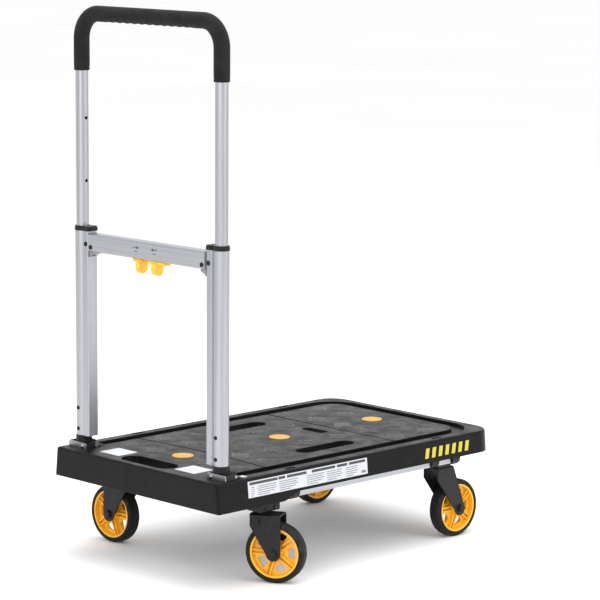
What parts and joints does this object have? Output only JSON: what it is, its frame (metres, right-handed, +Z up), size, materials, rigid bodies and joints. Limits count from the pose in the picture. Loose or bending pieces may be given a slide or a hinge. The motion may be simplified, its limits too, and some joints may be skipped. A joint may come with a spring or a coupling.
{
  "type": "folding platform cart",
  "caption": "Folding platform cart: moulded black deck, telescopic aluminium handle that folds flat, and casters that fold in under the deck.",
  "frame": {"origin": "on the floor under the middle of the deck", "axes": "+Z up; the handle stands at -X and the cart is pushed towards +X; the user's left side is +Y"},
  "size_m": [0.653, 0.4826, 0.9186],
  "materials": {
    "deck_plastic": "moulded black polypropylene, fine grain",
    "black_plastic": "moulded black nylon, satin",
    "plated_steel": "zinc plated",
    "aluminium": "satin anodised extrusion",
    "grip_foam": "dense matt foam rubber",
    "painted_steel": "black powder coat",
    "yellow_plastic": "orange-yellow moulded nylon",
    "tyre_rubber": "solid black rubber tread"
  },
  "bodies": {
    "deck": {"deck_shell": "deck_plastic", "deck_cap_1": "yellow_plastic", "deck_cap_2": "yellow_plastic", "deck_cap_3": "yellow_plastic", "hinge_block_right": "black_plastic", "hinge_block_left": "black_plastic", "stop_plate_right": "plated_steel", "stop_plate_left": "plated_steel", "hinge_pin_right": "plated_steel", "hinge_pin_left": "plated_steel", "near_bearing_right": "black_plastic", "near_bearing_left": "black_plastic", "far_bearing_right": "black_plastic", "far_bearing_left": "black_plastic"},
    "handle_frame": {"upright_right": "aluminium", "upright_left": "aluminium", "collar_right": "black_plastic", "collar_left": "black_plastic", "handle_foot_right": "black_plastic", "handle_foot_left": "black_plastic", "crossbar_bracket_right": "plated_steel", "crossbar_bracket_left": "plated_steel", "lock_spring_right": "plated_steel", "lock_spring_left": "plated_steel", "crossbar": "aluminium"},
    "handle_bow": {"bow_tube": "aluminium", "grip": "grip_foam", "glide_bush_right": "black_plastic", "glide_bush_left": "black_plastic"},
    "trigger_right": {"trigger_right": "yellow_plastic", "lock_rod_right": "plated_steel"},
    "fold_link_right": {"fold_link_right": "plated_steel"},
    "undercarriage_right": {"fold_shaft_right": "aluminium", "fold_crank_right": "plated_steel", "caster_saddle_right": "painted_steel", "kingpin_right": "plated_steel", "far_fork_right": "painted_steel", "far_axle_right": "painted_steel"},
    "swivel_caster_right": {"swivel_fork_right": "painted_steel", "swivel_axle_right": "painted_steel"},
    "swivel_wheel_right": {"swivel_wheel_right_hub": "yellow_plastic", "swivel_wheel_right_tyre": "tyre_rubber"},
    "far_wheel_right": {"far_wheel_right_hub": "yellow_plastic", "far_wheel_right_tyre": "tyre_rubber"},
    "trigger_left": {"trigger_left": "yellow_plastic", "lock_rod_left": "plated_steel"},
    "fold_link_left": {"fold_link_left": "plated_steel"},
    "undercarriage_left": {"fold_shaft_left": "aluminium", "fold_crank_left": "plated_steel", "caster_saddle_left": "painted_steel", "kingpin_left": "plated_steel", "far_fork_left": "painted_steel", "far_axle_left": "painted_steel"},
    "swivel_caster_left": {"swivel_fork_left": "painted_steel", "swivel_axle_left": "painted_steel"},
    "swivel_wheel_left": {"swivel_wheel_left_hub": "yellow_plastic", "swivel_wheel_left_tyre": "tyre_rubber"},
    "far_wheel_left": {"far_wheel_left_hub": "yellow_plastic", "far_wheel_left_tyre": "tyre_rubber"}
  },
  "joints": [
    {"name": "handle_fold", "type": "hinge", "parent": "deck", "child": "handle_frame", "pos_m": [-0.28, 0, 0.188], "axis": [0, -1, 0], "range_deg": [-90, 0]},
    {"name": "handle_slide", "type": "slide", "parent": "handle_frame", "child": "handle_bow", "axis": [0, 0, 1], "range_m": [-0.207, 0]},
    {"name": "trigger_squeeze_right", "type": "slide", "parent": "handle_frame", "child": "trigger_right", "axis": [0, 1, 0], "range_m": [0, 0.006], "stiffness_N_per_m": 600, "springref_m": -0.004, "deforming": ["lock_spring_right"]},
    {"name": "link_swing_right", "type": "hinge", "parent": "handle_frame", "child": "fold_link_right", "pos_m": [-0.28, -0.162, 0.172], "axis": [0, 1, 0], "range_deg": [-117, 0]},
    {"name": "shaft_fold_right", "type": "hinge", "parent": "deck", "child": "undercarriage_right", "pos_m": [0, -0.178, 0.141], "axis": [1, 0, 0], "range_deg": [0, 90]},
    {"name": "caster_swivel_right", "type": "hinge", "parent": "undercarriage_right", "child": "swivel_caster_right", "pos_m": [-0.2, -0.17, 0.114], "axis": [0, 0, -1], "continuous": true},
    {"name": "swivel_wheel_spin_right", "type": "hinge", "parent": "swivel_caster_right", "child": "swivel_wheel_right", "pos_m": [-0.18922, -0.19088, 0.05], "axis": [0.8886, 0.4587, 0], "continuous": true},
    {"name": "far_wheel_spin_right", "type": "hinge", "parent": "undercarriage_right", "child": "far_wheel_right", "pos_m": [0.2556, -0.17, 0.05], "axis": [0, 1, 0], "continuous": true},
    {"name": "trigger_squeeze_left", "type": "slide", "parent": "handle_frame", "child": "trigger_left", "axis": [0, -1, 0], "range_m": [0, 0.006], "stiffness_N_per_m": 600, "springref_m": -0.004, "deforming": ["lock_spring_left"]},
    {"name": "link_swing_left", "type": "hinge", "parent": "handle_frame", "child": "fold_link_left", "pos_m": [-0.28, 0.162, 0.172], "axis": [0, 1, 0], "range_deg": [-117, 0]},
    {"name": "shaft_fold_left", "type": "hinge", "parent": "deck", "child": "undercarriage_left", "pos_m": [0, 0.178, 0.141], "axis": [-1, 0, 0], "range_deg": [0, 90]},
    {"name": "caster_swivel_left", "type": "hinge", "parent": "undercarriage_left", "child": "swivel_caster_left", "pos_m": [-0.2, 0.17, 0.114], "axis": [0, 0, 1], "continuous": true},
    {"name": "swivel_wheel_spin_left", "type": "hinge", "parent": "swivel_caster_left", "child": "swivel_wheel_left", "pos_m": [-0.20131, 0.19346, 0.05], "axis": [-0.9984, -0.0558, 0], "continuous": true},
    {"name": "far_wheel_spin_left", "type": "hinge", "parent": "undercarriage_left", "child": "far_wheel_left", "pos_m": [0.2556, 0.17, 0.05], "axis": [0, 1, 0], "continuous": true}
  ],
  "couplings": [
    {"joint": "link_swing_right", "follows": "handle_fold", "ratio": 1.3},
    {"joint": "shaft_fold_right", "follows": "handle_fold", "ratio": -1},
    {"joint": "link_swing_left", "follows": "handle_fold", "ratio": 1.3},
    {"joint": "shaft_fold_left", "follows": "handle_fold", "ratio": -1}
  ]
}
